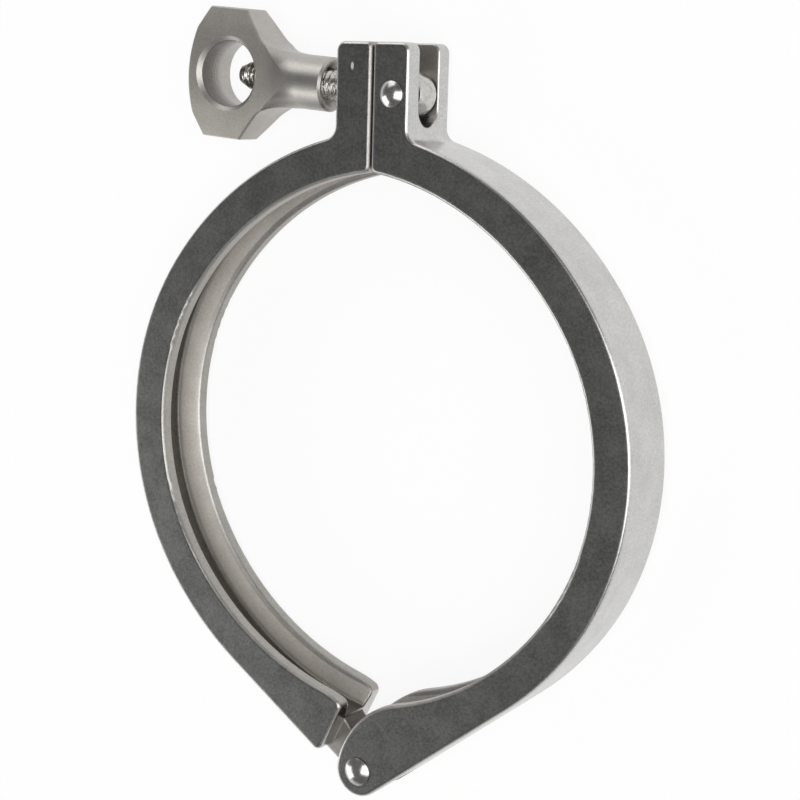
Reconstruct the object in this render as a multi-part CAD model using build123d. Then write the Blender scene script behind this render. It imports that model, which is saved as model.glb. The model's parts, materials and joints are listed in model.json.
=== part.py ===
"""Sanitary hinged clamp for a 4 inch (DN 100) ferrule joint.

Two cast half rings with a V groove in their bore fold about a riveted hinge pin and are drawn
together by a swing bolt and a wing nut. The clamp lies flat: +Z is the bore axis, +Y points from
the hinge to the lugs, and the origin is the centre of the bore, half way through its width.
Millimetres and degrees throughout.
"""

from math import acos, atan2, cos, degrees, hypot, radians, sin, sqrt
import os

from build123d import *

# Ring: the lips follow one arc at the sides and wider ones towards the hinge and the lugs
lip_radius = 54.8
lug_run_out = 10.4       # by how much the arc towards the lugs is wider
hinge_run_out = 9.0      # by how much the arc towards the hinge is wider
side_half_angle = 35.0   # reach of the side arc above and below the middle
ring_width = 16.6
ring_depth = 8.7         # from the lips to the outer face
edge_radius = 0.8

# Groove that wedges the two ferrule flanges together
groove_depth = 5.3
lip_land = 2.9           # width of each lip at the mouth of the groove
flank_angle = 20.0
groove_corner = 0.5
lip_edge_radius = 0.4
groove_sweep = 75.0      # how far the groove follows each wider arc

# Lugs, cast on the free ends
split_gap = 0.4
lug_reach = 9.1          # from the split line to the outer face of a lug
lug_rise = 31.0          # from the lips to the top of a lug
lug_corner = 2.0
lug_root_radius = 3.0
split_corner = 1.4       # rounding where the split meets the lips
bolt_slot_width = 7.8
bolt_slot_depth = 17.5   # down from the top of the lug
slot_edge_radius = 0.4

# Hinge: a fork on the right half and a knuckle on the left half
hinge_drop = 18.4        # from the lips to the pin's centre
hinge_shift = 0.8        # of the pin towards the fork's side
fork_eye_radius = 5.8
fork_back_radius = 20.0
knuckle_radius = 4.5
knuckle_thickness = 7.6
knuckle_side_gap = 0.15
knuckle_root_gap = 0.9
neck_offset = 0.6        # of the knuckle neck's inner side from the pin's centre
neck_slope = 52.0        # of that side, which widens the neck towards the ring
neck_corner = 1.5
shoulder_distance = 10.4  # from the pin to the blunt end of the left half
shoulder_angle = 25.7
shoulder_corner = 1.7

# Rivets
hinge_pin_radius = 2.5
hinge_head_radius = 3.15
bolt_pin_radius = 2.2
bolt_head_radius = 2.75
rivet_rim = 0.25
rivet_dome = 0.95
pin_clearance = 0.04

# Swing bolt, 1/4 inch, hung in the right lug
bolt_pin_x = 5.0
bolt_drop = 10.7         # from the top of the lug to the pin's centre
bolt_radius = 3.175
bolt_length = 44.2       # from the pin's centre to the tip
bolt_tilt = 4.1          # how far the bolt has lifted from square
bolt_tip_length = 2.6
bolt_tip_radius = 2.0
eye_radius = 5.0
eye_width = 6.4

# Wing nut: a sleeve flaring into a flat head with a large finger hole
nut_distance = 20.0      # from the bolt pin to the nut's seat
sleeve_radius = 5.9
sleeve_chamfer = 0.5
seat_mouth_radius = 4.9  # of the countersink in the seat
seat_mouth_depth = 1.7
swell_start = 7.0        # from the seat to where the sleeve's round side swells
swell_radius = 13.0
hole_distance = 44.9     # from the bolt pin to the middle of the finger hole
hole_radius = 6.9        # at the parting line, half way through
hole_draft = 4.0
hole_rim = 0.9           # chamfer round each mouth of the hole
head_half_height = 14.3
head_tip_half_thickness = 3.4
head_side_angle = 49.0   # slope of the head's sides down to the sleeve
head_side_radius = 9.0   # of the hollow between those sides and the sleeve
head_flat_start = 2.9    # the head's flats run from here before the hole's middle ...
head_flat_end = 7.3      # ... to here beyond it
head_bevel_height = 9.4
head_bevel_reach = 9.7
head_reach = 10.6
head_edge_radius = 0.5
blend_margin = 0.1       # keeps the head's sides and faces clear of the sleeve's round
thread_clearance = 0.05

# Places that follow from the sizes above
hinge_distance = lip_radius + hinge_drop
lug_height = lip_radius + lug_rise
bolt_slot_floor = lug_height - bolt_slot_depth
bolt_pin_y = lug_height - bolt_drop
hinge = (hinge_shift, -hinge_distance)
outer_radius = lip_radius + ring_depth
width_over = 2 * ring_width          # long enough to cut right through
hinge_span = 6 * fork_eye_radius     # covers all that belongs to the hinge


def toward(point, angle, distance):
    """The point that lies at a distance and a direction from another."""
    return (point[0] + distance * cos(radians(angle)), point[1] + distance * sin(radians(angle)))


def arc(centre, radius, start, end):
    return CenterArc(centre, radius, start, end - start)


def bearing(start, end):
    """Direction from one point to another, in degrees."""
    return degrees(atan2(end[1] - start[1], end[0] - start[0]))


def half_plane(point, angle, size=8 * lip_radius):
    """A square on the far side of a line through a point, seen along a direction."""
    centre = toward(point, angle, size / 2)
    return Pos(*centre) * Rot(0, 0, angle) * Rectangle(size, size)


upper_centre = toward((0, 0), side_half_angle, -lug_run_out)
lower_centre = toward((0, 0), -side_half_angle, -hinge_run_out)
upper_lip_radius = lip_radius + lug_run_out
upper_outer_radius = outer_radius + lug_run_out
lower_lip_radius = lip_radius + hinge_run_out
lower_outer_radius = outer_radius + hinge_run_out


def angle_at_x(centre, radius, x):
    return degrees(acos((x - centre[0]) / radius))


def arm_normal(pin, eye_radius):
    """Direction square to the tangent from the ring's outer face to an eye round the pin."""
    reach = hypot(pin[0] - lower_centre[0], pin[1] - lower_centre[1])
    return bearing(lower_centre, pin) + degrees(acos((lower_outer_radius - eye_radius) / reach))


def arm_back(pin, eye_radius):
    """Centre and direction of the arc that touches both the lips' arc and the eye."""
    reach = hypot(pin[0] - lower_centre[0], pin[1] - lower_centre[1])
    span = lower_lip_radius + fork_back_radius
    offset = fork_back_radius - eye_radius
    turn = degrees(acos((reach**2 + span**2 - offset**2) / (2 * reach * span)))
    angle = bearing(lower_centre, pin) + turn
    return toward(lower_centre, angle, span), angle


def half_profile(pin, eye_radius):
    """Front view of a right-hand half, from the lips round its arm and back over the lug."""
    split_x = split_gap / 2
    lip_end = angle_at_x(upper_centre, upper_lip_radius, split_x)
    lug_foot = angle_at_x(upper_centre, upper_outer_radius, lug_reach)
    foot = toward(upper_centre, lug_foot, upper_outer_radius)
    lip_top = toward(upper_centre, lip_end, upper_lip_radius)
    back_centre, back = arm_back(pin, eye_radius)
    eye_touch = bearing(back_centre, pin)
    normal = arm_normal(pin, eye_radius)
    a = side_half_angle
    edges = [
        arc(upper_centre, upper_lip_radius, lip_end, a),
        arc((0, 0), lip_radius, a, -a),
        arc(lower_centre, lower_lip_radius, -a, back),
        arc(back_centre, fork_back_radius, back + 180, eye_touch),
        arc(pin, eye_radius, eye_touch, normal + 360),
        Line(toward(pin, normal, eye_radius), toward(lower_centre, normal, lower_outer_radius)),
        arc(lower_centre, lower_outer_radius, normal, -a),
        arc((0, 0), outer_radius, -a, a),
        arc(upper_centre, upper_outer_radius, a, lug_foot),
        Polyline(foot, (lug_reach, lug_height), (split_x, lug_height), lip_top),
    ]
    return round_corners(make_face(edges), {
        foot: lug_root_radius,
        (lug_reach, lug_height): lug_corner,
        (split_x, lug_height): lug_corner / 2,
        lip_top: split_corner,
    })


def round_corners(face, radii):
    """Fillet the corners of a flat face, each named by its place."""
    for point, radius in radii.items():
        corner = face.vertices().sort_by_distance(Vector(*point))[0]
        face = fillet(corner, radius)
    return face


def slab(face, thickness):
    return extrude(face, thickness / 2, both=True)


def ease_outline(solid, radius):
    """Round a slab's two outlines, which run without a corner."""
    top = solid.edges().group_by(Axis.Z)[-1]
    bottom = solid.edges().group_by(Axis.Z)[0]
    return fillet(top + bottom, radius)


def groove_section():
    """Trapezium of the groove in the XZ plane, open past the lips."""
    mouth = ring_width / 2 - lip_land
    spread = sin(radians(flank_angle)) / cos(radians(flank_angle))
    floor = mouth - groove_depth * spread
    proud = 2.0
    outline = Polyline(
        (lip_radius - proud, mouth + proud * spread),
        (lip_radius + groove_depth, floor),
        (lip_radius + groove_depth, -floor),
        (lip_radius - proud, -mouth - proud * spread),
        close=True,
    )
    face = make_face(outline)
    corners = face.vertices().group_by(Axis.X)[-1]
    return Plane.XZ * fillet(corners, groove_corner)


def groove():
    """The groove's section carried round the side arc and both wider arcs."""
    section = groove_section()
    a = side_half_angle
    ring = Rot(0, 0, -a) * revolve(section, Axis.Z, 2 * a)
    upper = revolve(Pos(lug_run_out, 0, 0) * section, Axis.Z, groove_sweep)
    lower = revolve(Pos(hinge_run_out, 0, 0) * section, Axis.Z, groove_sweep)
    ring += Pos(*upper_centre) * Rot(0, 0, a) * upper
    ring += Pos(*lower_centre) * Rot(0, 0, -a - groove_sweep) * lower
    return ring


def bolt_slot():
    """Slot in a lug for the bolt, open at the top, with a round floor."""
    radius = bolt_slot_width / 2
    height = lug_height - bolt_slot_floor
    reach = lug_reach + lug_root_radius
    floor = Pos(reach / 2, bolt_slot_floor + radius, 0) * Rot(0, 90, 0) * Cylinder(radius, reach)
    open_part = Pos(reach / 2, bolt_slot_floor + radius + height / 2, 0) * Box(
        reach, height, bolt_slot_width)
    return floor + open_part


def ease_slot(half):
    """Round the slot's mouth on the lug's outer face."""
    mouth = [
        edge for edge in half.edges()
        if abs((edge @ 0.5).X - lug_reach) < 0.01
        and abs((edge @ 0.5).Z) < bolt_slot_width / 2 + 0.01
        and (edge @ 0.5).Y > bolt_slot_floor - 0.01
    ]
    return fillet(mouth, slot_edge_radius)


def ease_lips(half):
    """Round the edges where the groove's flanks meet the lips."""
    mouth = ring_width / 2 - lip_land
    edges = [
        edge for edge in half.edges()
        if all(abs(abs((edge @ t).Z) - mouth) < 0.01 for t in (0, 0.5, 1))
    ]
    return fillet(edges, lip_edge_radius)


def right_half():
    """Half ring with the fork of the hinge and the lug that carries the swing bolt."""
    face = half_profile(hinge, fork_eye_radius)
    half = ease_outline(slab(face, ring_width), edge_radius) - groove() - bolt_slot()
    half = ease_slot(ease_lips(half))
    arm_direction = arm_normal(hinge, fork_eye_radius) + 90
    slot_thickness = knuckle_thickness + 2 * knuckle_side_gap
    slot_root = toward(hinge, arm_direction, knuckle_radius + knuckle_root_gap)
    half -= slab(half_plane(slot_root, arm_direction + 180, hinge_span), slot_thickness)
    half -= Pos(*hinge) * Cylinder(hinge_pin_radius, width_over)
    half -= Pos(bolt_pin_x, bolt_pin_y) * Cylinder(bolt_pin_radius, width_over)
    return half


def knuckle(pin, shoulder):
    """Tongue that hinges in the fork, drawn for the right and mirrored with its half."""
    lower_side = arm_normal(pin, knuckle_radius)
    inner_side = neck_slope + 90
    neck = half_plane(pin, shoulder_angle, hinge_span)
    neck -= half_plane(toward(shoulder, shoulder_angle, shoulder_corner), shoulder_angle)
    neck -= half_plane(toward(pin, lower_side, knuckle_radius), lower_side)
    neck -= half_plane(toward(pin, inner_side, neck_offset), inner_side)
    outline = neck + Pos(*pin) * Circle(knuckle_radius)
    throat = toward(pin, inner_side - degrees(acos(neck_offset / knuckle_radius)), knuckle_radius)
    return slab(round_corners(outline, {throat: neck_corner}), knuckle_thickness)


def left_half():
    """Half ring with the knuckle of the hinge and the lug that the nut bears on."""
    pin = (-hinge[0], hinge[1])
    shoulder = toward(pin, shoulder_angle, shoulder_distance)
    face = half_profile(pin, knuckle_radius) - half_plane(shoulder, shoulder_angle + 180)
    ends = face.edges().filter_by(GeomType.LINE).sort_by_distance(Vector(*shoulder))[0]
    face = fillet(face.vertices().filter_by(lambda v: v.distance_to(ends) < 1e-4), shoulder_corner)
    half = ease_outline(slab(face, ring_width), edge_radius)
    half = ease_slot(ease_lips(half + knuckle(pin, shoulder) - groove() - bolt_slot()))
    half -= Pos(*pin) * Cylinder(hinge_pin_radius + pin_clearance, width_over)
    return mirror(half, Plane.YZ)


def rivet(shank_radius, head_radius, centre):
    """Plain shank with a low dome closed over each side face."""
    grip = ring_width / 2
    crown = grip + rivet_rim + rivet_dome
    outline = [
        Polyline((0, 0), (shank_radius, 0), (shank_radius, grip), (head_radius, grip),
                 (head_radius, grip + rivet_rim)),
        TangentArc((0, crown), (head_radius, grip + rivet_rim), tangent=(1, 0)),
        Line((0, crown), (0, 0)),
    ]
    end = make_face(outline)
    profile = Plane.XZ * (end + mirror(end, Plane.XZ))
    return Pos(*centre) * revolve(profile, Axis.Z)


on_bolt = Pos(bolt_pin_x, bolt_pin_y) * Rot(0, 0, 180 - bolt_tilt)


def swing_bolt():
    """Eye bolt along +X from its pin: a ball with two flats, and a round shank."""
    ball = Sphere(eye_radius) & Box(4 * eye_radius, 4 * eye_radius, eye_width)
    shank = Pos(bolt_length / 2, 0, 0) * Rot(0, 90, 0) * Cylinder(bolt_radius, bolt_length)
    tip = shank.edges().sort_by(Axis.X)[-1]
    end = shank.faces().sort_by(Axis.X)[-1]
    shank = chamfer(tip, bolt_radius - bolt_tip_radius, bolt_tip_length, reference=end)
    return on_bolt * (ball + shank - Cylinder(bolt_pin_radius + pin_clearance, width_over))


def nut_blank():
    """Turned form of the nut: a sleeve whose round side swells out to the head's full reach."""
    far = hole_distance + head_reach + 2
    start = nut_distance + swell_start
    rise = head_half_height + 1 - sleeve_radius
    angle = degrees(acos(1 - rise / swell_radius))
    swell = arc((start, sleeve_radius + swell_radius), swell_radius, 270, 270 + angle)
    tip = swell @ 1
    face = make_face([
        Polyline((tip.X, tip.Y), (far, tip.Y), (far, 0), (nut_distance, 0),
                 (nut_distance, sleeve_radius - sleeve_chamfer),
                 (nut_distance + sleeve_chamfer, sleeve_radius), (start, sleeve_radius)),
        swell,
    ])
    return revolve(face, Axis.X)


def nut_section():
    """Section across the bolt: full at the middle, thinner at the top and bottom of the head."""
    middle = sleeve_radius + blend_margin
    drop = middle - head_tip_half_thickness
    crown_radius = (head_half_height**2 + drop**2) / (2 * drop)
    side = head_half_height + 1
    edge = middle - crown_radius + sqrt(crown_radius**2 - side**2)
    return make_face([
        ThreePointArc((-side, edge), (0, middle), (side, edge)),
        Line((side, edge), (side, -edge)),
        ThreePointArc((side, -edge), (0, -middle), (-side, -edge)),
        Line((-side, -edge), (-side, edge)),
    ])


def nut_plan():
    """Front view: sleeve, hollow sides, flats, bevels and the shallow bow of the free end."""
    h, b = head_half_height, head_bevel_height
    neck = sleeve_radius + blend_margin
    flat_start, flat_end = hole_distance - head_flat_start, hole_distance + head_flat_end
    bevel_end = hole_distance + head_bevel_reach
    slope = sin(radians(head_side_angle)) / cos(radians(head_side_angle))
    foot = flat_start - (h - neck) / slope
    seat = nut_distance - 1
    face = make_face([
        Polyline((bevel_end, b), (flat_end, h), (flat_start, h), (foot, neck), (seat, neck),
                 (seat, -neck), (foot, -neck), (flat_start, -h), (flat_end, -h), (bevel_end, -b)),
        ThreePointArc((bevel_end, -b), (hole_distance + head_reach, 0), (bevel_end, b)),
    ])
    return round_corners(face, {(foot, neck): head_side_radius, (foot, -neck): head_side_radius})


def finger_hole():
    """Cast hole through the head, drafted both ways from its parting line."""
    depth = sleeve_radius + 2
    face_radius = hole_radius + depth * sin(radians(hole_draft)) / cos(radians(hole_draft))
    cone = Pos(hole_distance, 0, depth / 2) * Cone(hole_radius, face_radius, depth)
    return cone + mirror(cone, Plane.XY)


def nut_bore():
    """Bore for the bolt, from a countersink in the seat to the finger hole."""
    bore_radius = bolt_radius + thread_clearance
    length = hole_distance - nut_distance
    bore = Pos(nut_distance + length / 2, 0, 0) * Rot(0, 90, 0) * Cylinder(bore_radius, length)
    mouth = Cone(seat_mouth_radius, bore_radius, seat_mouth_depth)
    return bore + Pos(nut_distance + seat_mouth_depth / 2, 0, 0) * Rot(0, 90, 0) * mouth


def wing_nut():
    """Nut along +X from its seat: sleeve, flare and flat head with a finger hole."""
    length = hole_distance + head_reach + 5
    section = extrude(Plane.YZ * nut_section(), length)
    body = nut_blank() & slab(nut_plan(), 4 * sleeve_radius) & section
    head_start = hole_distance - head_flat_start
    outer_edges = [e for e in body.edges() if (e @ 0.5).X > head_start - 3]
    body = fillet(outer_edges, head_edge_radius)
    body -= finger_hole()
    rims = [
        e for e in body.edges()
        if e.length > 5 * hole_radius and abs((e @ 0.5).Z) > head_tip_half_thickness
        and hypot((e @ 0.5).X - hole_distance, (e @ 0.5).Y) < hole_radius + 1
    ]
    return on_bolt * (chamfer(rims, hole_rim) - nut_bore())


parts = {
    "right_half": right_half(),
    "left_half": left_half(),
    "hinge_pin": rivet(hinge_pin_radius, hinge_head_radius, hinge),
    "bolt_pin": rivet(bolt_pin_radius, bolt_head_radius, (bolt_pin_x, bolt_pin_y)),
    "swing_bolt": swing_bolt(),
    "wing_nut": wing_nut(),
}

os.makedirs("parts", exist_ok=True)
for name, shape in parts.items():
    export_step(shape, f"parts/{name}.step")
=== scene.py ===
import json

import bpy
import numpy as np
from mathutils import Matrix, Vector


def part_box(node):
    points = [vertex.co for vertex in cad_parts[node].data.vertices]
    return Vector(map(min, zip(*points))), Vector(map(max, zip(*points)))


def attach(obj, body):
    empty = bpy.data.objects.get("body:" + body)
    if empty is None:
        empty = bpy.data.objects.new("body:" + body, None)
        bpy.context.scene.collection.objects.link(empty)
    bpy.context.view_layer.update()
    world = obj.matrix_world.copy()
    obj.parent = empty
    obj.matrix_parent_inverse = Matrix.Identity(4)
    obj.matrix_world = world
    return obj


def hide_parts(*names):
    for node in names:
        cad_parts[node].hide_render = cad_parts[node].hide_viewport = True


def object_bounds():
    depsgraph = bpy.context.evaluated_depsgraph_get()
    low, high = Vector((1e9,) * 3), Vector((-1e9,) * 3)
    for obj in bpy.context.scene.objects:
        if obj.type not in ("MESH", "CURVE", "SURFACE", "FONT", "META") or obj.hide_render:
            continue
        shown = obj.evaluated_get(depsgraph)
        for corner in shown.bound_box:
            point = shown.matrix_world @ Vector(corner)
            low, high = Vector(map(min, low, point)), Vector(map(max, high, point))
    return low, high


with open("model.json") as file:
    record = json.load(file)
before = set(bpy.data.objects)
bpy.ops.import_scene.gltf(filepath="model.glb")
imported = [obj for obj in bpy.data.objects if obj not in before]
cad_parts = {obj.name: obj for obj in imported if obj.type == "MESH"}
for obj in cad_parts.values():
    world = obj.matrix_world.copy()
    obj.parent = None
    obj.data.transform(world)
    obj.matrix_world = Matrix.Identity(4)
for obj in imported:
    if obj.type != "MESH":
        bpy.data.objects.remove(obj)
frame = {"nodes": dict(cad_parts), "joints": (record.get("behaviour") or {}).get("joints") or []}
cad_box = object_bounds()

# ---------------------------------------------------------------------------------------------
# Right half of the ring
# One investment casting in stainless steel: half a ring, the fork of the hinge and a lug. Its flat
# sides keep the dull skin of the casting, darkened further with painted shade, and tumbling has left
# every rounded edge bright.

mm = 0.001
side_z = 7.95 * mm                # the flat sides lie further from the middle plane than this
lip_edge_z = 5.0 * mm             # the groove lies closer to it than this, between the lips
floor_edge_z = (3.9 * mm, 3.4 * mm)    # the painted shade on the groove's floor fades in over this stretch
split_edge_x = (1.4 * mm, 1.0 * mm)    # the worn edges of the split fade in over this one
lug_foot_y = 50 * mm              # the lugs and their split lie beyond this
nick_place = (-0.0049, 0.0807, 0.0083)    # a small bright nick on the left lug
nick_edge = (0.45 * mm, 0.25 * mm)
nick_shape = (1.0, 0.45, 1.0)     # more than twice as long as it is wide
# How upright a surface is, from 1 on a flat side to 0 on a wall square to it, sets its finish.
rubbed_from = (0.995, 0.90)       # the rubbed finish starts on the first, and is full from the second
lip_from = (0.97, 0.85)
bore_side = -0.2                  # a surface that looks outward by less than this faces the bore


def linear(hex_colour):
    """sRGB hex colour turned to linear RGB with alpha 1."""
    parts = np.array([int(hex_colour[i:i + 2], 16) for i in (1, 3, 5)]) / 255
    low, high = parts / 12.92, ((parts + 0.055) / 1.055) ** 2.4
    return (*np.where(parts <= 0.04045, low, high), 1.0)


def node(tree, kind, settings=None, links=None):
    """Adds a node; settings are its properties, links its inputs by name or number."""
    made = tree.nodes.new("ShaderNode" + kind)
    for name, value in (settings or {}).items():
        setattr(made, name, value)
    for name, value in (links or {}).items():
        if isinstance(value, bpy.types.NodeSocket):
            tree.links.new(value, made.inputs[name])
        else:
            made.inputs[name].default_value = value
    return made


def steel(name, grain, relief, finishes, zones, ease=0.0):
    """Stainless steel with several finishes, each laid over those before it.

    A finish is (dark hex, light hex, roughness, share of the relief). grain is the size of the
    surface's pits and relief their depth, both in mm. zones(tree, place, normal) gives for every
    finish after the first the share of the surface that it covers. ease is the reach in mm over
    which the direction of the surface is evened out, for castings whose rounded edges run smooth.
    """
    material = bpy.data.materials.new(name)
    material.use_nodes = True
    tree = material.node_tree
    shader = tree.nodes["Principled BSDF"]
    where = node(tree, "TexCoord")
    place, normal = where.outputs["Object"], where.outputs["Normal"]
    cloud_size = 6 * mm              # soft patches, as handling leaves them
    pit_share = 0.65                 # of the mottle; the clouds make up the rest
    noise_reach = (0.36, 0.64)       # nearly all of the mottle lies between these
    clouds = node(tree, "TexNoise", {}, {"Vector": place, "Scale": 1 / cloud_size, "Detail": 4.0})
    pits = node(tree, "TexNoise", {}, {"Vector": place, "Scale": 1 / (grain * mm), "Detail": 3.0,
                                       "Roughness": 0.6})
    mottle = node(tree, "Mix", {"data_type": "FLOAT"}, {
        "Factor": pit_share, 2: clouds.outputs["Fac"], 3: pits.outputs["Fac"]})
    spread = node(tree, "MapRange", {}, {"Value": mottle.outputs[0], "From Min": noise_reach[0],
                                         "From Max": noise_reach[1]}).outputs[0]
    colour = rough = depth = None
    for finish, cover in zip(finishes, [None, *zones(tree, place, normal)]):
        dark, light, roughness, relief_share = finish
        tone = node(tree, "Mix", {"data_type": "RGBA"}, {
            "Factor": spread, 6: linear(dark), 7: linear(light)}).outputs[2]
        if cover is None:
            colour, rough, depth = tone, roughness, relief_share
            continue
        colour = node(tree, "Mix", {"data_type": "RGBA"}, {
            "Factor": cover, 6: colour, 7: tone}).outputs[2]
        rough = node(tree, "Mix", {"data_type": "FLOAT"}, {
            "Factor": cover, 2: rough, 3: roughness}).outputs[0]
        depth = node(tree, "Mix", {"data_type": "FLOAT"}, {
            "Factor": cover, 2: depth, 3: relief_share}).outputs[0]
    eased = node(tree, "Bevel", {"samples": 8}, {"Radius": ease * mm})
    bump = node(tree, "Bump", {}, {"Height": pits.outputs["Fac"], "Strength": depth,
                                   "Distance": relief * mm, "Normal": eased.outputs[0]})
    tree.links.new(colour, shader.inputs["Base Color"])
    tree.links.new(rough, shader.inputs["Roughness"])
    tree.links.new(bump.outputs[0], shader.inputs["Normal"])
    shader.inputs["Metallic"].default_value = 1.0
    return material


def ring_zones(tree, place, normal):
    """Where the finishes of the ring lie, in the order in which cast_ring lists them.

    Each zone is a product of shares from 0 to 1, such as how steep the surface is and whether it
    faces the bore, with soft limits where the real one fades.
    """
    facing = node(tree, "SeparateXYZ", {}, {0: normal})
    spot = node(tree, "SeparateXYZ", {}, {0: place})
    upright = node(tree, "Math", {"operation": "ABSOLUTE"}, {0: facing.outputs["Z"]}).outputs[0]
    height = node(tree, "Math", {"operation": "ABSOLUTE"}, {0: spot.outputs["Z"]}).outputs[0]
    below = node(tree, "Math", {"operation": "LESS_THAN"}, {0: height, 1: side_z}).outputs[0]
    tilted = node(tree, "MapRange", {}, {"Value": upright, "From Min": rubbed_from[0],
                                         "From Max": rubbed_from[1]}).outputs[0]
    in_plane = node(tree, "VectorMath", {"operation": "MULTIPLY"}, {0: place, 1: (1, 1, 0)})
    from_axis = node(tree, "VectorMath", {"operation": "NORMALIZE"}, {0: in_plane.outputs[0]})
    outward = node(tree, "VectorMath", {"operation": "DOT_PRODUCT"}, {
        0: from_axis.outputs[0], 1: normal}).outputs["Value"]
    inward = node(tree, "Math", {"operation": "LESS_THAN"}, {
        0: outward, 1: bore_side}).outputs[0]

    # The groove faces inward between the lips; its floor is the stretch nearest the middle, darkened
    # with painted shade.
    deep = node(tree, "Math", {"operation": "LESS_THAN"}, {0: height, 1: lip_edge_z}).outputs[0]
    groove = node(tree, "Math", {"operation": "MULTIPLY"}, {0: inward, 1: deep}).outputs[0]
    open_side = node(tree, "Math", {"operation": "SUBTRACT"}, {0: 1.0, 1: groove}).outputs[0]
    middle = node(tree, "MapRange", {}, {"Value": height, "From Min": floor_edge_z[0],
                                         "From Max": floor_edge_z[1]}).outputs[0]
    groove_floor_shade = node(tree, "Math", {"operation": "MULTIPLY"}, {0: groove, 1: middle}).outputs[0]

    # All walls and rounded edges outside the groove are rubbed; the lips face inward too.
    rubbed = node(tree, "Math", {"operation": "MULTIPLY"}, {0: tilted, 1: open_side}).outputs[0]
    steep = node(tree, "MapRange", {}, {"Value": upright, "From Min": lip_from[0],
                                        "From Max": lip_from[1]}).outputs[0]
    facing_in = node(tree, "Math", {"operation": "MULTIPLY"}, {0: steep, 1: inward}).outputs[0]
    lips = node(tree, "Math", {"operation": "MULTIPLY"}, {0: facing_in, 1: open_side}).outputs[0]

    # The two edges of the split between the lugs, as dull as the lips.
    off_split = node(tree, "Math", {"operation": "ABSOLUTE"}, {0: spot.outputs["X"]}).outputs[0]
    by_split = node(tree, "MapRange", {}, {"Value": off_split, "From Min": split_edge_x[0],
                                           "From Max": split_edge_x[1]}).outputs[0]
    on_lugs = node(tree, "Math", {"operation": "GREATER_THAN"}, {
        0: spot.outputs["Y"], 1: lug_foot_y}).outputs[0]
    split = node(tree, "Math", {"operation": "MULTIPLY"}, {0: by_split, 1: on_lugs}).outputs[0]
    split_edge = node(tree, "Math", {"operation": "MULTIPLY"}, {0: split, 1: tilted}).outputs[0]
    worn = node(tree, "Math", {"operation": "MAXIMUM"}, {0: lips, 1: split_edge}).outputs[0]

    # The nick is a drop about its own place.
    off_nick = node(tree, "VectorMath", {"operation": "SUBTRACT"}, {0: place, 1: nick_place})
    long_drop = node(tree, "VectorMath", {"operation": "MULTIPLY"}, {
        0: off_nick.outputs[0], 1: nick_shape})
    far = node(tree, "VectorMath", {"operation": "LENGTH"}, {0: long_drop.outputs[0]})
    nick = node(tree, "MapRange", {}, {"Value": far.outputs["Value"], "From Min": nick_edge[0],
                                       "From Max": nick_edge[1]}).outputs[0]
    return below, rubbed, worn, groove, groove_floor_shade, nick


# Investment-cast stainless steel, pickled and then tumbled: a cloudy grey skin that mirrors the
# room softly. Its real pits are a tenth of a millimetre, too fine to show, so they are drawn at
# half a millimetre.
ring_finishes = [
    ("#60605e", "#7f7f7c", 0.38, 1.0),       # the dull skin of the two flat sides, darkened with painted shade
    ("#9b9791", "#b0aca6", 0.45, 0.8),       # hinge knuckle and slots, blasted
    ("#b8b7b5", "#cfcecc", 0.27, 0.2),       # outside and rounded edges, rubbed bright
    ("#9b9892", "#b0ada8", 0.42, 0.3),       # lips and the lugs' split, worn dull
    ("#c0bbb5", "#d3cec8", 0.58, 0.8),       # flanks of the groove, blasted
    ("#54514d", "#6b6762", 0.50, 1.0),       # floor of the groove, darkened as painted shade
    ("#d0ccc6", "#dcd8d2", 0.70, 0.5),       # the nick
]
cast_ring = steel("cast_stainless_ring", grain=0.5, relief=0.03, finishes=ring_finishes,
                  zones=ring_zones, ease=0.7)
frame["nodes"]["right_half"].material_slots[0].material = cast_ring

# ---------------------------------------------------------------------------------------------
# Left half of the ring
# Cast in the same steel, with the narrow knuckle of the hinge and the lug that the nut bears on.

frame["nodes"]["left_half"].material_slots[0].material = cast_ring

# ---------------------------------------------------------------------------------------------
# Rivets of the hinge and of the swing bolt
# Plain stainless rivets whose closed heads are smooth low domes, brighter than the castings.

scuff_size = 1.6 * mm
scuff_reach = (0.3, 0.5)          # the noise's values from a scuff's middle to its edge
least_shine = 0.6                 # share of the bright finish that a scuff keeps


def scuffs(tree, place, normal):
    """Rubbed bright but for small scuffs, where some of the first skin is left."""
    spots = node(tree, "TexNoise", {}, {"Vector": place, "Scale": 1 / scuff_size, "Detail": 2.0})
    return [node(tree, "MapRange", {}, {
        "Value": spots.outputs["Fac"], "From Min": scuff_reach[0], "From Max": scuff_reach[1],
        "To Min": least_shine}).outputs[0]]


# Stainless rivet wire, formed by a polished die: nearly a mirror, with faint scuffs.
rivet_finishes = [
    ("#85837f", "#9b9994", 0.28, 1.0),       # the scuffs
    ("#adaba8", "#bfbdba", 0.19, 0.5),       # the polished dome
]
closed_rivet = steel("closed_stainless_rivet", grain=0.8, relief=0.006, finishes=rivet_finishes,
                     zones=scuffs)
for rivet in ("hinge_pin", "bolt_pin"):
    frame["nodes"][rivet].material_slots[0].material = closed_rivet

# ---------------------------------------------------------------------------------------------
# Swing bolt
# A cast eye bolt: a ball with two flats round the rivet, and a 1/4 inch shank with a cut thread
# of 20 turns to the inch and a tapered tip. It lies along its own axis, a little off square.

pin_low, pin_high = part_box("bolt_pin")
bolt_pin_centre = np.array((pin_low + pin_high) / 2)
nut_run = next(joint for joint in frame["joints"] if joint["name"] == "nut_run")
along = np.array(nut_run["axis"])
across = np.array([-along[1], along[0], 0.0])
upward = np.array([0.0, 0.0, 1.0])

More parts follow.
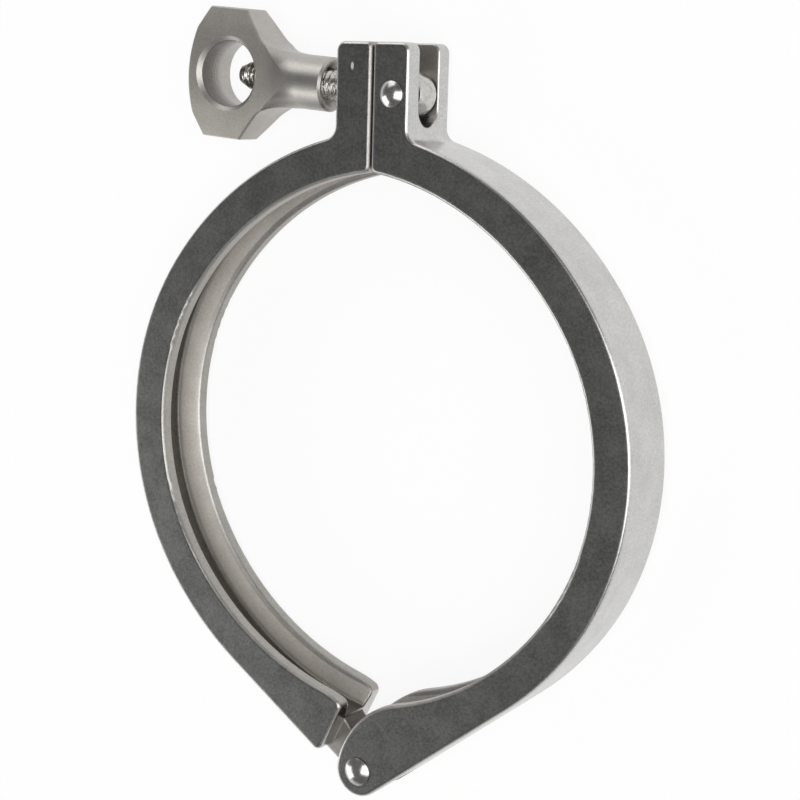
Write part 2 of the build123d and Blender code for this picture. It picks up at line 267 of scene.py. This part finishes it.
# The bolt's own sizes are in mm, measured from the rivet's centre.
bolt_length = 44.2
shank_start = 2.0            # inside the ball
thread_pitch = 1.27
thread_radius = 3.175
thread_depth = 0.62
thread_start = 8.5
thread_run_in = 2.0          # over which the thread reaches its full depth
crest_share = 1 / 26         # half the flat of the crest, as a share of the pitch
root_share = 1 / 13          # half the flat of the root
tip_length = 2.6
tip_slope = 0.45             # radius lost for each mm along the tip
rings_per_turn = 12          # of the mesh along the shank, each of so many points:
points_per_ring = 64
eye_radius = 5.0
eye_half_width = 3.2
eye_bore = 2.24
eye_ease = 0.25              # bevel of the eye's bore
belt_points = 24             # of the mesh across the ball's belt, turned in so many steps:
eye_steps = 96


def on_bolt(points):
    """Places points given in mm along, across and up from the bolt pin's centre."""
    axes = np.stack([along, across, upward])
    return bolt_pin_centre + points @ axes * mm


def grid_faces(rows, columns, wrap_rows=False):
    """Quads of a grid of points whose columns close on themselves, and its rows too if told."""
    row, column = np.meshgrid(np.arange(rows if wrap_rows else rows - 1), np.arange(columns),
                              indexing="ij")
    after = (row + 1) % rows
    beside = (column + 1) % columns
    corners = [row * columns + column, row * columns + beside,
               after * columns + beside, after * columns + column]
    return np.stack([c.ravel() for c in corners], axis=1)


def shank_points():
    """Radius over length s and turn t: major radius less a V that climbs one pitch each turn.

    The V has a flat crest and a flat root. It fades in over the run-in, and the tip is the
    lesser of the threaded radius and a cone.
    """
    rings = int((bolt_length - shank_start) / thread_pitch * rings_per_turn)
    s = np.linspace(shank_start, bolt_length, rings)[:, None]
    t = np.arange(points_per_ring)[None, :] / points_per_ring
    off_root = np.abs((s / thread_pitch - t) % 1.0 - 0.5)
    crest = 0.5 - crest_share
    groove = np.clip((crest - off_root) / (crest - root_share), 0.0, 1.0)
    fade = np.clip((s - thread_start) / thread_run_in, 0.0, 1.0)
    cone = thread_radius - np.clip(s - (bolt_length - tip_length), 0.0, None) * tip_slope
    radius = np.minimum(thread_radius - thread_depth * groove * fade, cone)
    angle = 2 * np.pi * t
    grid = np.stack([np.broadcast_to(s, radius.shape), radius * np.cos(angle),
                     radius * np.sin(angle)], axis=-1)
    return grid.reshape(-1, 3), rings


def eye_points():
    """A ball's belt between two flats with a bore: its closed section turned about the pin."""
    flat_reach = np.sqrt(eye_radius**2 - eye_half_width**2) - eye_ease
    mouth = eye_bore + eye_ease
    inside = eye_half_width - eye_ease
    belt_end = np.arcsin(eye_half_width / eye_radius)
    belt = np.linspace(-belt_end, belt_end, belt_points)
    section = np.concatenate([
        np.stack([eye_radius * np.cos(belt), eye_radius * np.sin(belt)], axis=1),
        [[flat_reach, eye_half_width], [mouth, eye_half_width], [eye_bore, inside],
         [eye_bore, -inside], [mouth, -eye_half_width], [flat_reach, -eye_half_width]],
    ])
    angle = 2 * np.pi * np.arange(eye_steps) / eye_steps
    grid = np.stack([section[:, :1] * np.cos(angle), section[:, :1] * np.sin(angle),
                     np.broadcast_to(section[:, 1:], (len(section), eye_steps))], axis=-1)
    return grid.reshape(-1, 3), len(section)


def disc_faces(centre, ring, turned=False):
    """Triangles from a centre point to each step round a ring of points."""
    after = np.roll(ring, -1)
    steps = (after, ring) if turned else (ring, after)
    return np.stack([np.full(len(ring), centre), *steps], axis=1)


shank, shank_rings = shank_points()
shank_ends = np.array([[shank_start, 0.0, 0.0], [bolt_length, 0.0, 0.0]])
first_centre, tip_centre = len(shank), len(shank) + 1
first_ring = np.arange(points_per_ring)
tip_ring = first_ring + (shank_rings - 1) * points_per_ring
eye, eye_rows = eye_points()
first_of_eye = tip_centre + 1
bolt_faces = [
    grid_faces(shank_rings, points_per_ring),
    disc_faces(first_centre, first_ring, turned=True),
    disc_faces(tip_centre, tip_ring),
    grid_faces(eye_rows, eye_steps, wrap_rows=True) + first_of_eye,
]
bolt_mesh = bpy.data.meshes.new("threaded_bolt")
bolt_mesh.from_pydata(on_bolt(np.concatenate([shank, shank_ends, eye])).tolist(), [],
                      [face for faces in bolt_faces for face in faces.tolist()])
bolt_mesh.validate()
threaded_bolt = bpy.data.objects.new("threaded_bolt", bolt_mesh)
bpy.context.scene.collection.objects.link(threaded_bolt)
bolt_mesh.shade_smooth()
bolt_mesh.set_sharp_from_angle(angle=np.radians(35))

# Stainless steel with a cut thread: bright flanks that sparkle, and duller where it is scuffed.
bolt_finishes = [
    ("#83817c", "#9d9b96", 0.34, 1.0),       # the scuffs
    ("#bbb9b4", "#cfcdc8", 0.20, 0.6),       # the cut and polished steel
]
cut_bolt = steel("cut_stainless_bolt", grain=0.6, relief=0.012, finishes=bolt_finishes,
                 zones=scuffs)
bolt_mesh.materials.append(cut_bolt)
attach(threaded_bolt, "bolt")
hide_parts("swing_bolt")

# ---------------------------------------------------------------------------------------------
# Wing nut
# One casting: a round sleeve that flares into a flat head with a drafted finger hole. It has the
# even, warm grey of a blasted casting, rubbed bright round the hole and along its edges.

hole_distance = 44.9 * mm
hole_place = bolt_pin_centre + along * hole_distance    # on the bolt's own axis
hole_wall = 7.3 * mm              # the walls of the hole lie within this of its axis
sleeve_start = (9 * mm, 13 * mm)  # the head passes into the sleeve over this stretch
hole_front_z = (-1.5 * mm, 2.5 * mm)    # the hole's painted shade fades in toward the front over this one
ring_spacing = 0.9 * mm           # of the fine rings that the core has left in the hole
ring_waver = 0.35 * mm
nut_rubbed_from = (0.93, 0.70)    # how upright, as on the ring


def nut_zones(tree, place, normal):
    """Rubbed on the sleeve and off the flat faces; darkened with painted shade in the front half of
    the hole.
    """
    facing = node(tree, "SeparateXYZ", {}, {0: normal})
    spot = node(tree, "SeparateXYZ", {}, {0: place})
    upright = node(tree, "Math", {"operation": "ABSOLUTE"}, {0: facing.outputs["Z"]}).outputs[0]
    tilted = node(tree, "MapRange", {}, {"Value": upright, "From Min": nut_rubbed_from[0],
                                         "From Max": nut_rubbed_from[1]}).outputs[0]
    off_hole = node(tree, "VectorMath", {"operation": "SUBTRACT"}, {0: place, 1: hole_place})
    toward_seat = node(tree, "SeparateXYZ", {}, {0: off_hole.outputs[0]})
    sleeve = node(tree, "MapRange", {}, {
        "Value": toward_seat.outputs["X"], "From Min": sleeve_start[0],
        "From Max": sleeve_start[1]}).outputs[0]
    rubbed = node(tree, "Math", {"operation": "MAXIMUM"}, {0: tilted, 1: sleeve}).outputs[0]

    # Painted shade on the hole's wall, by how far to the front it is, wavering with the core's rings.
    level = node(tree, "VectorMath", {"operation": "MULTIPLY"}, {
        0: off_hole.outputs[0], 1: (1, 1, 0)})
    from_hole = node(tree, "VectorMath", {"operation": "LENGTH"}, {0: level.outputs[0]})
    in_hole = node(tree, "Math", {"operation": "LESS_THAN"}, {
        0: from_hole.outputs["Value"], 1: hole_wall}).outputs[0]
    phase = node(tree, "Math", {"operation": "MULTIPLY"}, {
        0: spot.outputs["Z"], 1: 2 * np.pi / ring_spacing})
    rings = node(tree, "Math", {"operation": "SINE"}, {0: phase.outputs[0]})
    wavering = node(tree, "Math", {"operation": "MULTIPLY_ADD"}, {
        0: rings.outputs[0], 1: ring_waver, 2: spot.outputs["Z"]}).outputs[0]
    front = node(tree, "MapRange", {}, {"Value": wavering, "From Min": hole_front_z[0],
                                        "From Max": hole_front_z[1]}).outputs[0]
    hole_shade = node(tree, "Math", {"operation": "MULTIPLY"}, {0: in_hole, 1: front}).outputs[0]
    return rubbed, hole_shade


# Investment-cast stainless steel, blasted with fine glass: a soft, warm grey with no mirror in
# it. The blasting's real grain is too fine to show, so it is drawn at a third of a millimetre.
nut_finishes = [
    ("#96928c", "#aba7a1", 0.55, 1.0),       # the flat faces
    ("#a5a29d", "#b9b6b1", 0.36, 0.5),       # sleeve, hollow sides and edges
    ("#66635f", "#7f7c78", 0.34, 0.5),       # painted shade in the front half of the finger hole
]
blasted_nut = steel("blasted_stainless_nut", grain=0.35, relief=0.02, finishes=nut_finishes,
                    zones=nut_zones)
frame["nodes"]["wing_nut"].material_slots[0].material = blasted_nut

# ---------------------------------------------------------------------------------------------
# Floor, light and camera
# A white sheet lies under the clamp, and the room's walls rise white behind it below a dim
# ceiling. Soft boxes hang above, at the right, at the left and behind. The clamp is seen from
# above, from the right. All lengths here are in metres.

scene = bpy.context.scene
sheet_half = 6.0
floor_z = cad_box[0][2]
floor_mesh = bpy.data.meshes.new("floor")
floor_mesh.from_pydata([(-sheet_half, -sheet_half, floor_z), (sheet_half, -sheet_half, floor_z),
                        (sheet_half, sheet_half, floor_z), (-sheet_half, sheet_half, floor_z)],
                       [], [(0, 1, 2, 3)])
floor = bpy.data.objects.new("floor", floor_mesh)
scene.collection.objects.link(floor)

# Matt white paper that looks evenly lit to the eye and in the steel, and keeps a soft shadow.
paper = bpy.data.materials.new("white_paper_sheet")
paper.use_nodes = True
tree = paper.node_tree
tree.nodes.remove(tree.nodes["Principled BSDF"])
even_share = 0.9
path = node(tree, "LightPath")
mirrored = node(tree, "Math", {"operation": "MAXIMUM"}, {
    0: path.outputs["Is Glossy Ray"], 1: path.outputs["Is Transmission Ray"]})
seen = node(tree, "Math", {"operation": "MAXIMUM"}, {
    0: path.outputs["Is Camera Ray"], 1: mirrored.outputs[0]})
share = node(tree, "Math", {"operation": "MULTIPLY"}, {0: seen.outputs[0], 1: even_share})
white = node(tree, "Emission", {}, {"Color": (1, 1, 1, 1), "Strength": 1.0})
matte = node(tree, "BsdfDiffuse", {}, {"Color": linear("#fbfbfa")})
mixed = node(tree, "MixShader", {}, {
    0: share.outputs[0], 1: matte.outputs[0], 2: white.outputs[0]})
tree.links.new(mixed.outputs[0], tree.nodes["Material Output"].inputs["Surface"])
floor_mesh.materials.append(paper)

# The walls are white up to the first height and dim from the second, as the sine of the angle.
wall_top, ceiling_start = 0.14, 0.42
world = bpy.data.worlds.new("dim_room")
scene.world = world
world.use_nodes = True
tree = world.node_tree
direction = node(tree, "SeparateXYZ", {}, {0: node(tree, "TexCoord").outputs["Generated"]})
rise = node(tree, "MapRange", {"interpolation_type": "SMOOTHSTEP"}, {
    "Value": direction.outputs["Z"], "From Min": wall_top, "From Max": ceiling_start}).outputs[0]
room = node(tree, "Mix", {"data_type": "RGBA"}, {
    "Factor": rise, 6: (1, 1, 1, 1), 7: (0.21, 0.21, 0.215, 1)})
tree.links.new(room.outputs[2], tree.nodes["Background"].inputs["Color"])


def soft_box(name, place, size, radiance):
    """A square area lamp aimed at the clamp; its power is pi times area times radiance."""
    lamp = bpy.data.lights.new(name, "AREA")
    lamp.shape = "SQUARE"
    lamp.size = size
    lamp.energy = np.pi * size**2 * radiance
    holder = bpy.data.objects.new(name, lamp)
    holder.location = place
    holder.rotation_euler = (-Vector(place)).to_track_quat("-Z", "Y").to_euler()
    scene.collection.objects.link(holder)


soft_box("soft_box_right", (1.5, 0.1, 1.1), size=1.3, radiance=1.7)
soft_box("soft_box_above", (0.65, -0.15, 1.65), size=1.3, radiance=2.9)
soft_box("soft_box_left", (-1.6, -0.8, 0.8), size=1.2, radiance=2.5)
soft_box("soft_box_back", (-0.7, 1.4, 0.8), size=1.0, radiance=1.6)

camera = bpy.data.cameras.new("camera")
camera.lens = 86.42
camera.sensor_width = 36.0
camera_place = (0.22097, 0.07925, 0.34875)
camera_right = Vector((0.84629, 0.02774, -0.532))
camera_up = Vector((-0.11222, 0.98552, -0.12712))
camera_back = camera_right.cross(camera_up)
camera_turn = Matrix((camera_right, camera_up, camera_back)).transposed().to_4x4()
viewer = bpy.data.objects.new("camera", camera)
viewer.matrix_world = Matrix.Translation(camera_place) @ camera_turn
scene.collection.objects.link(viewer)
scene.camera = viewer
scene.view_settings.view_transform = "Standard"
